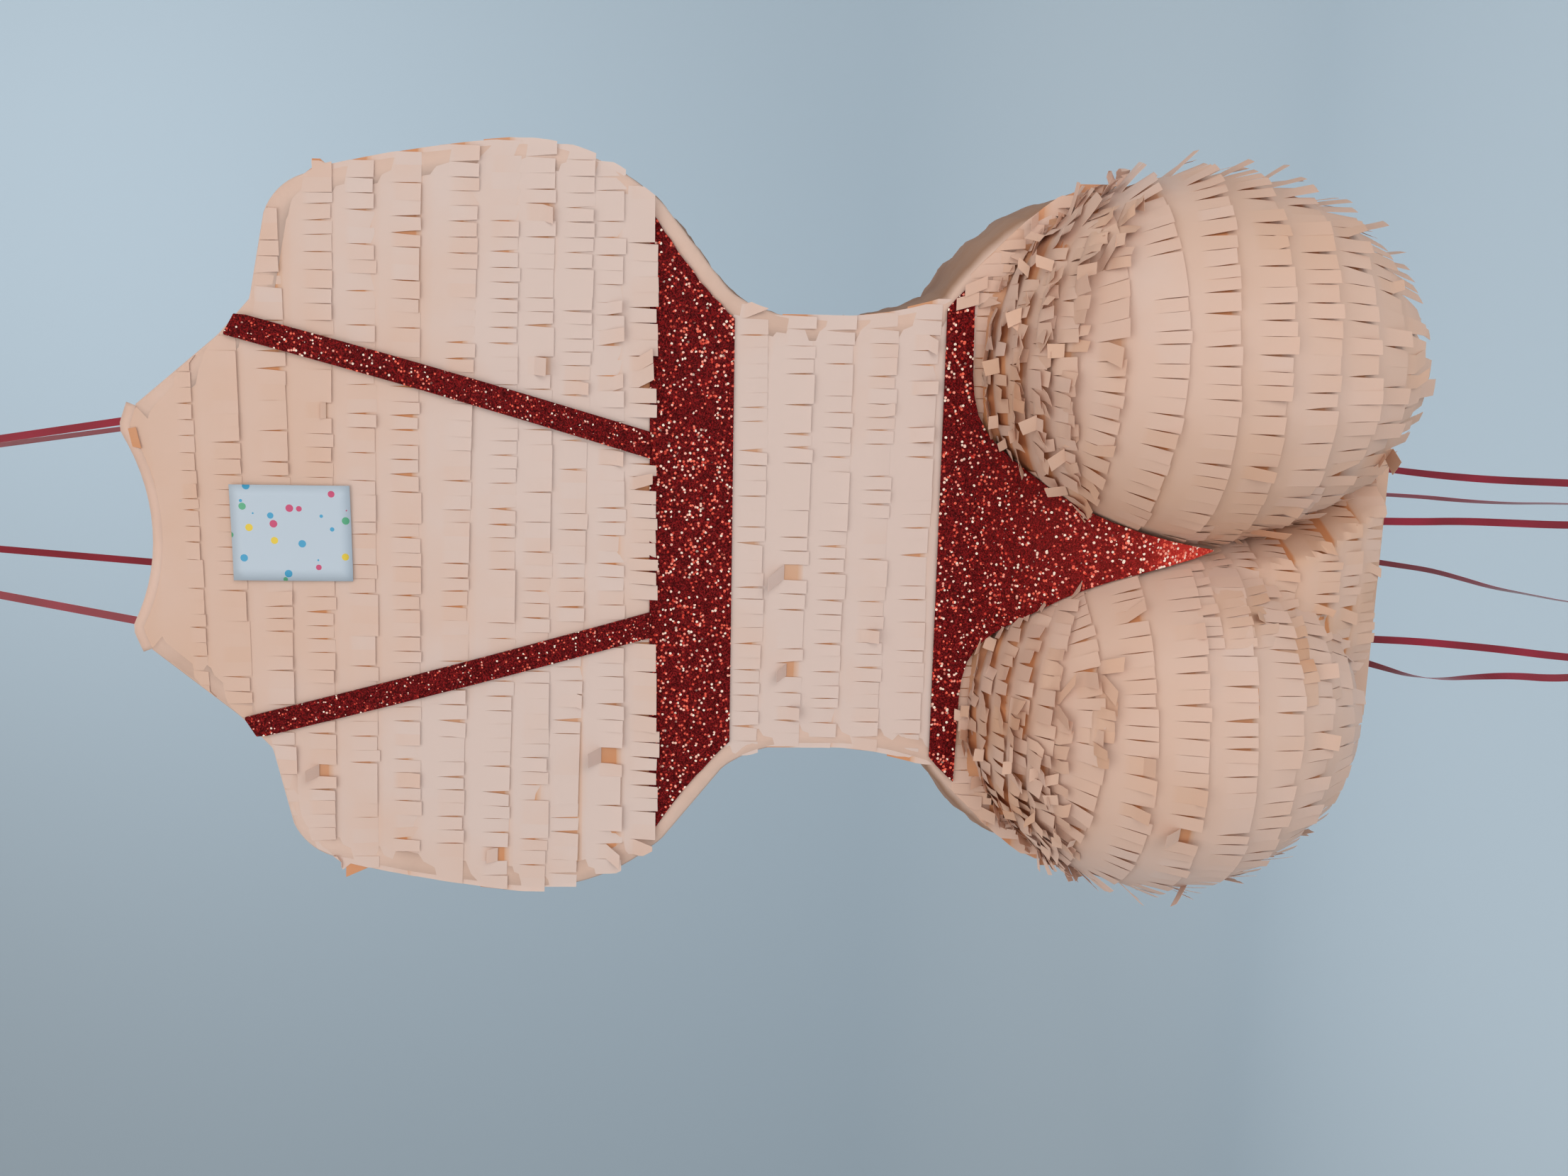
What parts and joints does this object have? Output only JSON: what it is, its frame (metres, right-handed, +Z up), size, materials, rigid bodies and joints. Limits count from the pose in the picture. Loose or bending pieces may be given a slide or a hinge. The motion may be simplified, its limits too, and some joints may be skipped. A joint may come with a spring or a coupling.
{
  "type": "pull-ribbon pinata",
  "caption": "Hollow card pinata shaped as a torso from behind, with fringed crepe rows, glitter-foam dress, hanging loop, pull ribbons, trap door and fill hatch.",
  "frame": {"origin": "inside top of the hanging loop, where a hook or nail carries the pinata", "axes": "+Z up, +X to the right and +Y to the back for someone facing the decorated side; the domes bulge towards -Y"},
  "size_m": [0.4726, 0.229, 1.4601],
  "materials": {
    "corrugated_card": "matte",
    "papier_mache": "matte",
    "crepe_paper": "matte",
    "glitter_foam": "satin",
    "label_card": "satin",
    "ribbon": "gloss"
  },
  "bodies": {
    "shell": {"back_band": "glitter_foam", "back_panel": "corrugated_card", "bottom_wall": "corrugated_card", "chest_wall_left": "corrugated_card", "chest_wall_right": "corrugated_card", "crepe_back_rows": "crepe_paper", "crepe_bottom": "crepe_paper", "crepe_chest_rows": "crepe_paper", "crepe_dome_left": "crepe_paper", "crepe_dome_right": "crepe_paper", "crepe_hip_front": "crepe_paper", "crepe_neck": "crepe_paper", "crepe_side_left": "crepe_paper", "crepe_side_right": "crepe_paper", "crepe_waist_rows": "crepe_paper", "decoy_ribbon_1": "ribbon", "decoy_ribbon_2": "ribbon", "decoy_ribbon_3": "ribbon", "decoy_ribbon_4": "ribbon", "decoy_ribbon_5": "ribbon", "decoy_ribbon_ends": "ribbon", "dome_left": "papier_mache", "dome_right": "papier_mache", "front_panel": "corrugated_card", "hanger_knots": "ribbon", "hanging_knot": "ribbon", "hanging_loop": "ribbon", "hanging_ribbon_back_left": "ribbon", "hanging_ribbon_back_right": "ribbon", "hanging_ribbon_front_left": "ribbon", "hanging_ribbon_front_right": "ribbon", "hip_wall_left": "corrugated_card", "hip_wall_right": "corrugated_card", "label_card": "label_card", "neck_wall": "corrugated_card", "shoulder_wall_left": "corrugated_card", "shoulder_wall_right": "corrugated_card", "strap_left": "glitter_foam", "strap_right": "glitter_foam", "thong_panel": "glitter_foam", "waist_wall_left": "corrugated_card", "waist_wall_right": "corrugated_card"},
    "trap_door": {"door_panel": "corrugated_card", "door_crepe": "crepe_paper", "pull_ribbon_end": "ribbon"},
    "pull_ribbon_run": {"pull_ribbon": "ribbon"},
    "fill_hatch": {"hatch_panel": "corrugated_card", "hatch_crepe": "crepe_paper"}
  },
  "joints": [
    {"name": "trap_door_crease", "type": "hinge", "parent": "shell", "child": "trap_door", "pos_m": [0, 0.038, -1.237], "axis": [1, 0, 0], "range_deg": [0, 90]},
    {"name": "pull_ribbon_hang", "type": "hinge", "parent": "trap_door", "child": "pull_ribbon_run", "pos_m": [0.0124, -0.0366, -1.23875], "axis": [1, 0, 0], "range_deg": [-90, 0]},
    {"name": "fill_hatch_crease", "type": "hinge", "parent": "shell", "child": "fill_hatch", "pos_m": [0, 0.06, -0.59], "axis": [1, 0, 0], "range_deg": [0, 110]}
  ],
  "couplings": [
    {"joint": "pull_ribbon_hang", "follows": "trap_door_crease", "ratio": -1}
  ]
}
